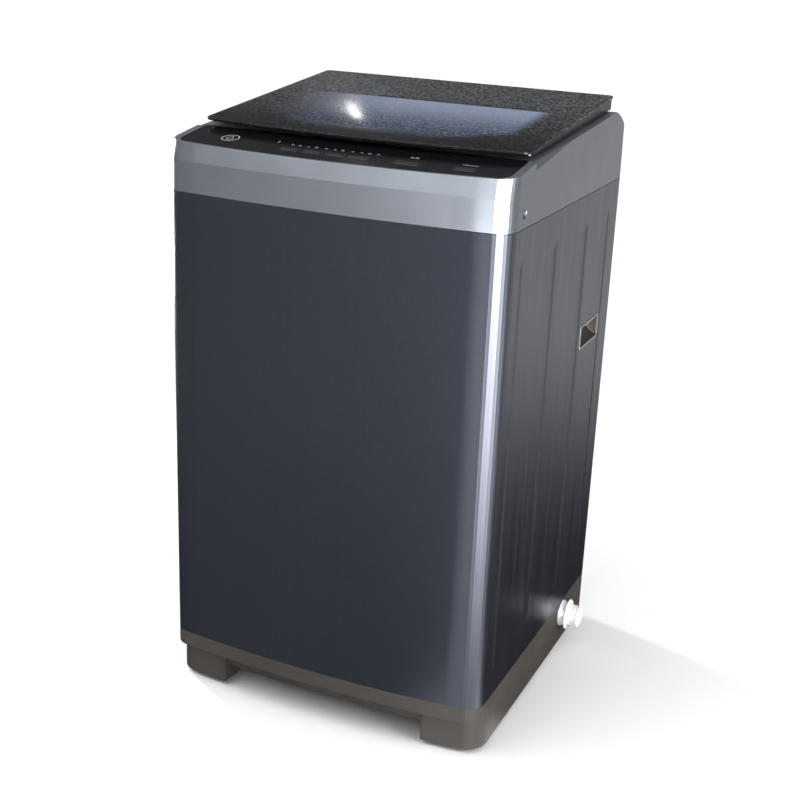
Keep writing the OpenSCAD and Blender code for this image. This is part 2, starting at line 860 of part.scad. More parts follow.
module reducer_housing() color(zinc) difference() {
  union() {
    translate([0, 0, 140])
      cylinder(h = 64, r = 51);
    translate([0, 0, 203])
      cylinder(h = tub_floor - 203, r = 26.5);
    translate([0, 0, plate_z - 6])
      cylinder(h = 6, r = 62);
    for (a = [15:60:315])
      rotate([0, 0, a])
        box([20, 50], [-2, 2], [200, plate_z - 1]);
  }
  translate([0, 0, 144])
    cylinder(h = 57, r = 47);
  translate([0, 0, 130])
    cylinder(h = 30, r = 9);
  translate([0, 0, 195])
    cylinder(h = 60, r = 14);
  translate([0, 0, 204])
    cylinder(h = 50, r = 21.03);
  for (a = [45:90:315])
    rotate([0, 0, a])
      translate([56.5, 0, 200])
        cylinder(h = 30, r = 3.3);
}

bearing_orbit = 16.5;
ball_r = 2.5;

module bearing(z) {
  translate([0, 0, z])
    difference() {
      union() {
        ring(21, 18, 0, 12);
        ring(15, spin_shaft_r + 0.04, 0, 12);
      }
      rotate_extrude($fn = fine)
        translate([bearing_orbit, 6])
          circle(r = ball_r + 0.08);
    }
  for (a = [0:45:315])
    rotate([0, 0, a])
      translate([bearing_orbit, 0, z + 6])
        sphere(r = ball_r);
}

module spin_bearings() color(zinc) {
  bearing(206);
  bearing(225);
}

module shaft_seal() color([0.08, 0.08, 0.08]) ring(24, spin_shaft_r + 0.05, tub_floor + 0.2, tub_floor + 6.5);

module motor_stator() color([0.20, 0.21, 0.22]) translate([motor_xy[0], motor_xy[1], 0]) difference() {
  union() {
    translate([0, 0, 138])
      cylinder(h = 46, r = 56);
    translate([0, 0, 126])
      cylinder(h = 72, r = 46);
    for (a = [0:30:330])
      rotate([0, 0, a])
        box([50, 59], [-1.5, 1.5], [140, 182]);
    for (x = [-38, 38], y = [-38, 38])
      translate([x, y, 180])
        cylinder(h = plate_z - 180, r = 7);
  }
  translate([0, 0, 136])
    cylinder(h = 52, r = 32);
  translate([0, 0, 100])
    cylinder(h = 60, r = 6.5);
}

module motor_rotor() color(zinc) translate([motor_xy[0], motor_xy[1], 0]) {
  translate([0, 0, 84])
    cylinder(h = 104, r = 6);
  translate([0, 0, 142])
    cylinder(h = 40, r = 31.4);
}

// A pulley whose rim has a V groove at belt level
module pulley(r, hub, bore, holes, hole_orbit) {
  difference() {
    turned([
      [bore, belt_z - 11], [hub, belt_z - 11], [hub, belt_z - 3], [r - 9, belt_z - 3], [r - 9, belt_z - 8],
      [r, belt_z - 8], [r - 4.5, belt_z - 3], [r - 4.5, belt_z + 3], [r, belt_z + 8], [r - 9, belt_z + 8],
      [r - 9, belt_z + 3], [hub, belt_z + 3], [hub, belt_z + 9], [bore, belt_z + 9]
    ]);
    if (holes > 0)
      for (i = [0:holes - 1])
        rotate([0, 0, 360 * i / holes])
          translate([hole_orbit, 0, belt_z - 20])
            cylinder(h = 40, r = 12);
  }
}

module driven_pulley() color([0.35, 0.36, 0.38]) pulley(pulley_r + 4, 14, 6.03, 6, 40);

module motor_pulley() color(zinc) translate([motor_xy[0], motor_xy[1], 0])
  pulley(motor_pulley_r + 4, 11, 6.03, 0, 0);

// Outline of the belt's run round both pulleys
module belt_loop(grow) {
  hull() {
    circle(r = pulley_r + grow);
    translate(motor_xy)
      circle(r = motor_pulley_r + grow);
  }
}

module drive_belt() color([0.05, 0.05, 0.05]) {
  translate([0, 0, belt_z - 2.4])
    linear_extrude(4.8)
      difference() {
        belt_loop(5);
        belt_loop(0.5);
      }
}

module drain_valve_body() color(grey_plastic) difference() {
  union() {
    x_cylinder(84, 168, valve[1], valve[2], 19);
    x_cylinder(167, 184, valve[1], valve[2], 13);
    translate([valve[0], valve[1], valve[2]])
      cylinder(h = tub_floor - valve[2], r = 16);
    translate([valve[0], valve[1], tub_floor - 4])
      cylinder(h = 4, r = 19.6);
  }
  x_cylinder(88, 148, valve[1], valve[2], 16);
  x_cylinder(147, 165, valve[1], valve[2], 11);
  x_cylinder(160, 190, valve[1], valve[2], 10.5);
  x_cylinder(80, 92, valve[1], valve[2], 2.6);
  translate([valve[0], valve[1], valve[2]])
    cylinder(h = 60, r = 12);
}

module drain_plug() color([0.70, 0.25, 0.15]) {
  x_cylinder(64, 140, valve[1], valve[2], 2);
  x_cylinder(138, 146.6, valve[1], valve[2], 14);
}

module drain_motor() color([0.16, 0.16, 0.17]) difference() {
  union() {
    box([8, 62], around(valve[1], 21), [184, plate_z]);
    translate([34, valve[1], 176])
      cylinder(h = 9, r = 18);
  }
  x_cylinder(36, 70, valve[1], valve[2], 3);
}

hose_path = [
  [184.5, 130, 205], [198, 130, 203], [211, 130.5, 194], [218, 132, 178], [220, 133, 155], [220, 134, 130],
  [221, 135, 108], [226, 136.5, 88], [236, 137.5, 73], [248, 138, 65], [261.5, 138, 63]
];
module drain_hose() color([0.30, 0.31, 0.33]) sweep(hose_path, 13.5, 12);

spring_turns = 7;
module suspension_springs() color(zinc) four_corners() translate([rod[0], rod[1], 0])
  sweep([
    for (i = [0:spring_turns * 12])
      [12.3 * cos(30 * i), 12.3 * sin(30 * i), cap_z + 7.8 + (ear_z - 14.7 - cap_z) * i / (spring_turns * 12)]
  ], 1.6, 6);

module damper_cups() color([0.85, 0.85, 0.80])
four_corners()
translate([rod[0], rod[1], 0])
difference() {
  translate([0, 0, ear_z - 34])
    cylinder(h = 33.8, r = 20);
  translate([0, 0, ear_z - 35])
    cylinder(h = 30, r = 17.6);
  translate([0, 0, ear_z - 40])
    cylinder(h = 50, r = rod_r + 0.6);
}

// ---------- basket ----------

module basket_wall() color(zinc) difference() {
  ring(basket_r, basket_r - 1.2, 270, 722);
  for (i = [0:basket_columns - 1], j = [0:basket_rows - 1])
    rotate([0, 0, (i + 0.5 * (j % 2)) * 360 / basket_columns])
      x_cylinder(basket_r - 4, basket_r + 3, 0, 320 + j * 370 / basket_rows, 4);
}

module basket_base() color(grey_plastic) turned([
  [23, 256], [pulsator_r + 9, 256], [pulsator_r + 14, 262], [basket_r - 1.2, 268], [basket_r, 268],
  [basket_r, 270], [basket_r - 1.2, 270], [basket_r - 1.2, 276], [basket_r - 4, 276], [pulsator_r + 12, 267],
  [pulsator_r + 6, 260], [23, 260]
]);

module basket_hub() color([0.65, 0.66, 0.67]) difference() {
  union() {
    translate([0, 0, 249])
      cylinder(h = 7, r = 60);
    translate([0, 0, 249])
      cylinder(h = 14, r = 22.5);
    for (a = [0:60:300])
      rotate([0, 0, a])
        box([50, 150], [-9, 9], [250, 256]);
  }
  translate([0, 0, 240])
    cylinder(h = 30, r = spin_shaft_r + 0.02);
}

module balance_ring() color([0.80, 0.81, 0.82]) turned([
  [basket_r + 0.3, 704], [basket_r + 5, 704], [basket_r + 7, 712], [basket_r + 7, 744], [basket_r + 1, 752],
  [192, 752], [186, 746], [186, 728], [190, 722.2], [basket_r + 0.3, 722.2]
]);

module lint_filters() color([0.45, 0.62, 0.80]) for (a = [78, 258]) difference() {
  rotate([0, 0, a])
    rotate_extrude(angle = 24, $fn = fine)
      polygon([[203, 424], [205, 420], [213.4, 420], [213.4, 566], [205, 566], [203, 562]]);
  for (i = [1:5])
    rotate([0, 0, a + 4 * i])
      box([195, 209], [-3, 3], [436, 550]);
}

module brake_drum() color([0.60, 0.61, 0.62]) difference() {
  union() {
    translate([0, 0, 152])
      cylinder(h = 46, r = 40);
    translate([0, 0, 197])
      cylinder(h = 65, r = spin_shaft_r);
  }
  translate([0, 0, 150])
    cylinder(h = 43, r = 36);
  translate([0, 0, 190])
    cylinder(h = 80, r = shaft_r + run_gap);
}

// ---------- reducer ----------

function inv_deg(a) = tan(a) * 180 / PI - a;
// Half of the tooth's angle at radius r, for an involute tooth at 20 degrees
function half_tooth(r, n, backlash) =
  let (pitch = gear_module * n / 2, base = pitch * cos(20))
  90 / n - backlash * 90 / (PI * pitch) + inv_deg(20) - inv_deg(acos(min(1, base / max(r, base))));
function gear_points(n, low, high, backlash) =
  let (
    pitch = gear_module * n / 2,
    radii = [pitch - low, pitch - 0.4 * low, pitch, pitch + 0.5 * high, pitch + high]
  )
  [
    for (t = [0:n - 1], s = [-1, 1], i = [0:4])
      let (r = radii[s < 0 ? i : 4 - i], a = 360 * t / n + s * half_tooth(r, n, backlash))
        r * [cos(a), sin(a)]
  ];

module ring_gear() color([0.55, 0.56, 0.58]) difference() {
  translate([0, 0, gear_z - 1])
    cylinder(h = planet_h + 2, r = 35.95);
  prism(gear_points(ring_teeth, 0.82, 1.25, -0.14), gear_z - 3, gear_z + planet_h + 3);
}

module planet_gear(i) color([0.75, 0.70, 0.55])
rotate([0, 0, 120 * i])
translate([planet_orbit, 0, 0])
difference() {
  prism(gear_points(planet_teeth, 1.15, 0.82, 0.14), gear_z, gear_z + planet_h);
  translate([0, 0, gear_z - 1])
    cylinder(h = planet_h + 2, r = 3 + run_gap);
}
module planet_gear_1() planet_gear(0);
module planet_gear_2() planet_gear(1);
module planet_gear_3() planet_gear(2);

module input_shaft() color([0.50, 0.51, 0.53]) {
  translate([0, 0, belt_z - 14])
    cylinder(h = gear_z - belt_z + 15, r = 6);
  prism(gear_points(sun_teeth, 1.15, 0.82, 0.14), gear_z - 0.5, gear_z + planet_h);
}

module wash_shaft() color([0.70, 0.71, 0.72]) {
  translate([0, 0, gear_z + planet_h + 1])
    cylinder(h = 8, r = 28);
  translate([0, 0, gear_z + planet_h + 8])
    cylinder(h = 288 - gear_z - planet_h - 8, r = shaft_r);
  for (i = [0:2])
    rotate([0, 0, 120 * i])
      translate([planet_orbit, 0, gear_z - 1.5])
        cylinder(h = planet_h + 4, r = 3);
}

module pulsator() color([0.80, 0.82, 0.84]) difference() {
  union() {
    turned([
      [shaft_r + 0.02, 265.5], [20, 265.5], [pulsator_r - 8, 266], [pulsator_r, 273], [pulsator_r, 276],
      [pulsator_r - 8, 271], [60, 272], [40, 277], [32, 288], [20, 291.5], [shaft_r + 0.02, 291.5]
    ]);
    intersection() {
      for (a = [0:60:300])
        rotate([0, 0, a])
          translate([30, 0, 268])
            rotate([0, 90, 0])
              cylinder(h = pulsator_r - 42, r1 = 18, r2 = 10);
      translate([0, 0, 268])
        cylinder(h = 40, r = pulsator_r - 9);
    }
    translate([0, 0, 288.5])
      cylinder(h = 3, r = 19);
  }
  for (a = [30:60:330], r = [80, 100, 120, 140])
    rotate([0, 0, a])
      translate([r, 0, 255])
        cylinder(h = 30, r = 3, $fn = 24);
  translate([0, 0, 260])
    cylinder(h = 28.2, r = shaft_r + 0.02);
}

// ---------- assembly ----------

cabinet_shell();
rear_panel();
base_frame();
suspension_brackets();
top_cover();
rear_top_cover();
control_panel();
control_board();
inlet_valve();
dispenser_housing();
side_handles();
cover_plugs();
drain_outlet();
rear_feet();
suspension_rods();
pressure_sensor();
cord_gland();
rear_screws();
hinge_pins();
lid_frame();
lid_glass();
detergent_drawer();
program_key();
level_key();
rinse_key();
spin_key();
start_key();
power_key();
outer_tub();
tub_cover_ring();
mounting_plate();
reducer_housing();
spin_bearings();
shaft_seal();
motor_stator();
drain_valve_body();
drain_motor();
drain_hose();
suspension_springs();
damper_cups();
drive_belt();
basket_wall();
basket_base();
basket_hub();
balance_ring();
lint_filters();
brake_drum();
ring_gear();
pulsator();
wash_shaft();
planet_gear_1();
planet_gear_2();
planet_gear_3();
driven_pulley();
input_shaft();
motor_rotor();
motor_pulley();
drain_plug();
foot_left();
foot_right();
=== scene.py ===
import math

import bpy
from mathutils import Matrix, Vector


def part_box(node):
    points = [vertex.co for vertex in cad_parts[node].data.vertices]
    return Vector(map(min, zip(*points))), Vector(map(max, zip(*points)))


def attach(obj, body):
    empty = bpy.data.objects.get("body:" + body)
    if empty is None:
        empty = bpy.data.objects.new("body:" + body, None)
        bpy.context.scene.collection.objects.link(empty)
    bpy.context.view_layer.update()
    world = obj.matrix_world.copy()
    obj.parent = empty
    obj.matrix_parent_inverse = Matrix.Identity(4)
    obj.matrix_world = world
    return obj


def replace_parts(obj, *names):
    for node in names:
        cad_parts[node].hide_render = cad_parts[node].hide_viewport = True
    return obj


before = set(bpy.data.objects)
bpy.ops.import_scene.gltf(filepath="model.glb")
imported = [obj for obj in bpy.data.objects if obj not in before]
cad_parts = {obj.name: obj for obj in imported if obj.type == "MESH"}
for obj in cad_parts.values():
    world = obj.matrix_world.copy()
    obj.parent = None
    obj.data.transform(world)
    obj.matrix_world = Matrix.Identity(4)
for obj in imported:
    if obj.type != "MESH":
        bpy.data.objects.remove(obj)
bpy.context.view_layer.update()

MM = 0.001


# ---------- camera ----------

EYE = (0.8412, -1.8969, 1.1978)
YAW, PITCH, ROLL = 0.416, -0.344, 0.042
SENSOR_MM, LENS_MM = 36, 59.91525


def camera():
    """Looks from the machine's front right, from above its lid, turned and rolled by the angles above in radians."""
    ahead = Vector((-math.sin(YAW) * math.cos(PITCH), math.cos(YAW) * math.cos(PITCH), math.sin(PITCH)))
    right = Vector((math.cos(YAW), math.sin(YAW), 0))
    up = right.cross(ahead)
    x = math.cos(ROLL) * right + math.sin(ROLL) * up
    y = -math.sin(ROLL) * right + math.cos(ROLL) * up
    data = bpy.data.cameras.new("camera")
    data.sensor_width = SENSOR_MM
    data.lens = LENS_MM
    data.clip_end = 100
    cam = bpy.data.objects.new("camera", data)
    cam.matrix_world = Matrix(((x.x, y.x, -ahead.x, EYE[0]), (x.y, y.y, -ahead.y, EYE[1]),
                               (x.z, y.z, -ahead.z, EYE[2]), (0, 0, 0, 1)))
    bpy.context.collection.objects.link(cam)
    bpy.context.scene.camera = cam


camera()


# ---------- materials ----------

def lin(r, g, b):
    """Linear colour of an sRGB one in 0 to 255."""
    return tuple((c / 255 / 12.92) if c < 11 else ((c / 255 + 0.055) / 1.055) ** 2.4 for c in (r, g, b))


class Mat:
    """A procedural material on object coordinates, which are metres in the part's frame."""

    def __init__(self, name, rough=0.4, metal=0.0, coat=0.0, coat_rough=0.05, spec=0.5, edge=0.6):
        self.m = bpy.data.materials.new(name)
        self.m.use_nodes = True
        self.t = self.m.node_tree
        self.b = self.t.nodes["Principled BSDF"]
        self.set("Metallic", metal)
        self.set("Roughness", rough)
        self.set("Coat Weight", coat)
        self.set("Coat Roughness", coat_rough)
        self.set("Specular IOR Level", spec)
        self.xyz = self.node("ShaderNodeTexCoord").outputs["Object"]
        self.normal = None
        if edge:
            rounded = self.node("ShaderNodeBevel", samples=4)
            rounded.inputs["Radius"].default_value = edge * MM
            self.normal = rounded.outputs["Normal"]
            self.link(self.normal, self.b.inputs["Normal"])
            if coat:
                self.link(self.normal, self.b.inputs["Coat Normal"])

    def node(self, kind, **settings):
        n = self.t.nodes.new(kind)
        for key, value in settings.items():
            setattr(n, key, value)
        return n

    def link(self, a, b):
        self.t.links.new(a, b)

    def set(self, socket, value):
        self.b.inputs[socket].default_value = value

    def put(self, inputs, k, value):
        if hasattr(value, "is_output"):
            self.link(value, inputs[k])
        else:
            inputs[k].default_value = value

    def noise(self, scale, detail=2.0, stretch=(1, 1, 1), rough=0.5, distort=0.0):
        m = self.node("ShaderNodeMapping")
        m.inputs["Scale"].default_value = stretch
        self.link(self.xyz, m.inputs["Vector"])
        n = self.node("ShaderNodeTexNoise")
        n.inputs["Scale"].default_value = scale
        n.inputs["Detail"].default_value = detail
        n.inputs["Roughness"].default_value = rough
        n.inputs["Distortion"].default_value = distort
        self.link(m.outputs[0], n.inputs["Vector"])
        return n.outputs["Fac"]

    def cells(self, scale, feature="F1", stretch=(1, 1, 1), out="Distance"):
        m = self.node("ShaderNodeMapping")
        m.inputs["Scale"].default_value = stretch
        self.link(self.xyz, m.inputs["Vector"])
        n = self.node("ShaderNodeTexVoronoi", feature=feature)
        n.inputs["Scale"].default_value = scale
        self.link(m.outputs[0], n.inputs["Vector"])
        return n.outputs[out]

    def math(self, op, a, b=0.0, c=0.0):
        n = self.node("ShaderNodeMath", operation=op)
        for k, v in enumerate((a, b, c)):
            self.put(n.inputs, k, v)
        return n.outputs[0]

    def ramp(self, value, low, high, to_low=0.0, to_high=1.0):
        n = self.node("ShaderNodeMapRange", interpolation_type="SMOOTHSTEP")
        for k, v in zip(("Value", "From Min", "From Max", "To Min", "To Max"), (value, low, high, to_low, to_high)):
            self.put(n.inputs, k, v)
        return n.outputs[0]

    def mix(self, fac, a, b):
        n = self.node("ShaderNodeMix", data_type="RGBA")
        self.put(n.inputs, 0, fac)
        for k, v in ((6, a), (7, b)):
            self.put(n.inputs, k, v if hasattr(v, "is_output") else (*v[:3], 1.0))
        return n.outputs[2]

    def colour(self, value):
        if hasattr(value, "is_output"):
            self.link(value, self.b.inputs["Base Color"])
        else:
            self.set("Base Color", (*value[:3], 1.0))

    def roughness(self, value):
        self.link(value, self.b.inputs["Roughness"])

    def bump(self, height, depth, strength=1.0):
        n = self.node("ShaderNodeBump")
        n.inputs["Distance"].default_value = depth * MM
        n.inputs["Strength"].default_value = strength
        self.link(height, n.inputs["Height"])
        if self.normal:
            self.link(self.normal, n.inputs["Normal"])
        self.normal = n.outputs["Normal"]
        self.link(self.normal, self.b.inputs["Normal"])
        return self


def shade(c, k):
    return tuple(min(1, v * k) for v in c[:3])


def plastic(name, c, rough=0.45, grain=1100, depth=0.03, vary=0.10, coat=0.0, edge=0.6, spec=0.5):
    """Moulded plastic: fine spark-eroded grain, faint flow marks and handling haze."""
    m = Mat(name, rough=rough, coat=coat, edge=edge, spec=spec)
    broad = m.noise(7, 3)
    m.colour(m.mix(m.ramp(broad, 0.3, 0.7), shade(c, 1 - vary), shade(c, 1 + vary)))
    m.roughness(m.ramp(m.noise(38, 4), 0.3, 0.7, rough * 0.88, rough * 1.12))
    m.bump(m.cells(grain), depth, 0.35)
    return m.m


def gloss(name, c, rough=0.08, vary=0.12, coat=1.0, edge=0.5, speck=0.0, spec=0.5):
    """Polished plastic with a faint ripple and fine dust specks."""
    m = Mat(name, rough=rough, coat=coat, edge=edge, spec=spec)
    base = m.mix(m.noise(30, 3), shade(c, 1 - vary), shade(c, 1 + vary))
    if speck:
        dots = m.ramp(m.cells(1300), 0.16, 0.08)
        base = m.mix(m.math("MULTIPLY", dots, speck), base, (0.5, 0.5, 0.52))
    m.colour(base)
    m.roughness(m.ramp(m.noise(60, 3), 0.3, 0.7, rough * 0.92, rough * 1.12))
    m.bump(m.noise(700, 2), 0.006, 0.15)
    return m.m


def split(m):
    """The point's x, y and z in metres, as three outputs."""
    s = m.node("ShaderNodeSeparateXYZ")
    m.link(m.xyz, s.inputs[0])
    return s.outputs[0], s.outputs[1], s.outputs[2]


def side_on(m, low=0.60, high=0.86):
    """1 where the surface faces left or right, 0 where it faces the front or up."""
    face = m.node("ShaderNodeSeparateXYZ")
    m.link(m.node("ShaderNodeNewGeometry").outputs["Normal"], face.inputs[0])
    return m.ramp(m.math("ABSOLUTE", face.outputs[0]), low, high)


CORNER_FROM, CORNER_TO = 0.213, 0.262


def soft_corner(m, depth):
    """Let the front fall away before its rounded corners, so that a highlight fades out across it."""
    m.bump(m.ramp(m.math("ABSOLUTE", split(m)[0]), CORNER_FROM, CORNER_TO, 1.0, 0.0), depth)


def paint(name, c, rough=0.3, metal=0.6, coat=0.35, flake=0.25, side=1.0):
    """Metallic paint: flakes, orange peel and a slow drift of tone. side scales the colour of the faces to the left
    and right, as painted shade.
    """
    m = Mat(name, rough=rough, metal=metal, coat=coat, coat_rough=0.12, edge=0.7)
    drift_and_painted_light = m.mix(m.ramp(m.noise(3.2, 3), 0.3, 0.7), shade(c, 0.93), shade(c, 1.07))
    # painted shade: faces to the left and right are darkened to side of the tone
    if side < 1:
        drift_and_painted_light = m.mix(m.math("MULTIPLY", side_on(m), 1 - side), drift_and_painted_light, (0, 0, 0))
    flakes = m.ramp(m.cells(2300, out="Color"), 0.2, 0.95)
    m.colour(m.mix(m.math("MULTIPLY", flakes, flake), drift_and_painted_light, shade(c, 1.9)))
    m.roughness(m.ramp(m.noise(24, 3), 0.3, 0.7, rough * 0.94, rough * 1.06))
    m.bump(m.noise(260, 2), 0.01, 0.12)
    if side < 1:
        soft_corner(m, 3)
    return m.m


def metal(name, c, rough=0.3, stretch=(1, 1, 60), scale=26, vary=0.10, depth=0.012, edge=0.4, spots=0.0):
    """Drawn, brushed or ground metal, lined along the axis whose stretch is least."""
    m = Mat(name, rough=rough, metal=1.0, edge=edge)
    lines = m.noise(scale, 5, stretch, 0.6)
    base = m.mix(m.ramp(lines, 0.25, 0.75), shade(c, 1 - vary), shade(c, 1 + vary))
    if spots:
        base = m.mix(m.math("MULTIPLY", m.ramp(m.noise(9, 5), 0.52, 0.75), spots), base, shade(c, 0.55))
    m.colour(base)
    m.roughness(m.ramp(m.noise(scale * 0.7, 5, stretch), 0.3, 0.7, rough * 0.75, rough * 1.3))
    m.bump(lines, depth, 0.5)
    return m.m


def galvanised(name, c=(0.52, 0.53, 0.54)):
    """Zinc-coated sheet with its spangle."""
    m = Mat(name, rough=0.42, metal=0.9, edge=0.3)
    crystals = m.math("MULTIPLY", m.cells(170, out="Color"), 0.5)
    spangle = m.math("ADD", crystals, m.math("MULTIPLY", m.noise(90, 3), 0.5))
    m.colour(m.mix(m.ramp(spangle, 0.1, 0.9), shade(c, 0.92), shade(c, 1.08)))
    m.roughness(m.ramp(spangle, 0.0, 1.0, 0.40, 0.50))
    m.bump(m.noise(420, 2), 0.015, 0.3)
    return m.m


def cast(name, c, rough=0.5, metallic=1.0):
    """Die-cast alloy: sandy skin and a random mottle of darker tone."""
    m = Mat(name, rough=rough, metal=metallic, edge=0.8)
    m.colour(m.mix(m.ramp(m.noise(45, 5), 0.3, 0.7), shade(c, 0.82), shade(c, 1.1)))
    m.roughness(m.ramp(m.noise(160, 3), 0.3, 0.7, rough * 0.85, rough * 1.2))
    m.bump(m.noise(700, 3), 0.06, 0.4)
    return m.m


def rubber(name, c, rough=0.75, ribs=None):
    """Matte rubber with talc haze; ribs is the pitch in metres of ribs along Z."""
    m = Mat(name, rough=rough, spec=0.3, edge=0.4)
    m.colour(m.mix(m.ramp(m.noise(30, 5), 0.45, 0.8), c, shade(c, 1.9)))
    m.roughness(m.ramp(m.noise(90, 4), 0.3, 0.7, rough * 0.85, min(1, rough * 1.15)))
    if ribs:
        w = m.node("ShaderNodeTexWave", wave_type="BANDS", bands_direction="Z", wave_profile="SIN")
        w.inputs["Scale"].default_value = 0.314 / ribs
        m.link(m.xyz, w.inputs["Vector"])
        m.bump(w.outputs["Fac"], 1.4, 0.8)
    else:
        m.bump(m.noise(900, 2), 0.04, 0.4)
    return m.m


WINDOW_FRONT, WINDOW_BACK, WINDOW_HALF = -0.152, 0.060, 0.206


def lid_glass_material():
    """Tinted glass printed underneath: a speckled border and a window whose print fades out to the front. The window's
    blue-grey is painted light for what shows through it, lighter towards the back, and it fades into the border to the
    left as painted shade.
    """
    m = Mat("lid_glass", rough=0.3, coat=0.10, coat_rough=0.08, edge=0, spec=0.17)
    x, y, _ = split(m)
    back = m.ramp(m.math("SUBTRACT", WINDOW_BACK, y), -0.002, 0.004)
    rounding = m.ramp(m.math("ABSOLUTE", x), 0.10, 0.21, 0.0, 0.050)
    front = m.ramp(m.math("SUBTRACT", m.math("SUBTRACT", y, WINDOW_FRONT), rounding), -0.014, 0.030)
    ends = m.ramp(m.math("SUBTRACT", WINDOW_HALF, m.math("ABSOLUTE", x)), -0.006, 0.022)
    inside = m.math("MULTIPLY", m.math("MULTIPLY", back, front), ends)
    # painted shade: the window fades into the dark border towards the left
    fade = m.ramp(x, -0.20, -0.02, 0.12, 1.0)
    inside = m.math("MULTIPLY", inside, fade)
    grit = m.cells(330, out="Color")
    fine = m.cells(640, out="Color")
    speck = m.math("ADD", m.ramp(grit, 0.45, 1.0, 0.0, 0.75), m.ramp(fine, 0.5, 1.0, 0.0, 0.6))
    # the border's colours grow lighter towards the back
    depth = m.ramp(y, -0.19, 0.10)
    dark = m.mix(depth, lin(4, 4, 6), lin(16, 16, 18))
    light = m.mix(depth, lin(46, 46, 50), lin(108, 109, 113))
    border = m.mix(speck, dark, light)
    bronze = m.mix(depth, lin(52, 49, 42), lin(96, 91, 76))
    border = m.mix(m.ramp(m.noise(900, 2), 0.6, 0.72, 0.0, 0.5), border, bronze)
    # painted light: the window is lighter towards the back
    glow = m.ramp(y, -0.12, 0.07, 0.0, 1.0)
    window = m.mix(glow, lin(42, 48, 62), lin(122, 132, 156))
    window = m.mix(m.math("MULTIPLY", speck, 0.45), window, lin(140, 150, 172))
    window = m.mix(m.ramp(m.noise(1400, 1), 0.5, 0.7, 0.0, 0.35), window, lin(50, 54, 70))
    m.colour(m.mix(inside, border, window))
    m.roughness(m.ramp(inside, 0.0, 1.0, 0.42, 0.11))
    outside = m.math("SUBTRACT", 1.0, inside)
    m.bump(m.math("MULTIPLY", m.math("ADD", grit, fine), outside), 0.008, 0.2)
    return m.m


WALL_FROM = 0.2668


def cabinet_material():
    """Blue-grey metallic paint. The sides are more metallic and brushed upright; they are painted brighter than the
    front as painted light, and painted dark on their channels' slopes as painted shade.
    """
    m = Mat("cabinet_paint", rough=0.34, metal=0.45, coat=0.12, coat_rough=0.2, edge=0, spec=0.35)
    side = side_on(m)
    # painted light: the faces to the left and right are painted brighter than the front
    c = m.mix(side, lin(48, 51, 61), lin(90, 93, 102))
    wall = m.ramp(m.math("ABSOLUTE", split(m)[0]), WALL_FROM, WALL_FROM + 0.0009)
    slope = m.math("MULTIPLY", wall, side_on(m, 0.93, 0.86))
    # painted shade: the slopes of the side channels are darkened
    c = m.mix(m.math("MULTIPLY", slope, 0.85), c, (0, 0, 0))
    drift_and_painted_light = m.mix(m.ramp(m.noise(2.6, 3), 0.3, 0.7, 0.0, 0.12), c, (0, 0, 0))
    flakes = m.ramp(m.cells(2300, out="Color"), 0.2, 0.95)
    m.colour(m.mix(m.math("MULTIPLY", flakes, 0.06), drift_and_painted_light, lin(170, 176, 190)))
    m.link(m.ramp(side, 0.0, 1.0, 0.45, 0.90), m.b.inputs["Metallic"])
    lines = m.noise(95, 6, (1, 1, 0.03), 0.65)
    fine = m.ramp(lines, 0.3, 0.7, -0.02, 0.09)
    m.roughness(m.math("ADD", m.math("MULTIPLY", fine, side), 0.31))
    m.bump(m.noise(240, 2), 0.02, 0.15)
    m.bump(m.math("MULTIPLY", lines, side), 0.03, 0.15)
    soft_corner(m, 4.2)
    return m.m


def stainless_material():
    """Brushed basket steel with pressed dimples between the holes."""
    m = Mat("basket_steel", rough=0.24, metal=1.0, edge=0.3)
    c = (0.60, 0.60, 0.60)
    lines = m.noise(40, 5, (0.05, 0.05, 1), 0.6)
    m.colour(m.mix(m.ramp(lines, 0.25, 0.75), shade(c, 0.88), shade(c, 1.1)))
    m.roughness(m.ramp(lines, 0.3, 0.7, 0.17, 0.34))
    m.bump(m.ramp(m.cells(28, feature="SMOOTH_F1", stretch=(1, 1, 0.8)), 0.1, 0.5), 0.8, 0.25)
    m.bump(lines, 0.01, 0.5)
    return m.m


def board_material():
    """Green circuit board with its tracks."""
    m = Mat("circuit_board", rough=0.35, coat=0.4, edge=0.2)
    tracks = m.ramp(m.cells(160, feature="DISTANCE_TO_EDGE"), 0.02, 0.06)
    m.colour(m.mix(tracks, lin(120, 128, 60), lin(16, 84, 40)))
    m.roughness(m.ramp(m.noise(200, 2), 0.3, 0.7, 0.25, 0.45))
    m.bump(tracks, 0.04, 0.6)
    return m.m


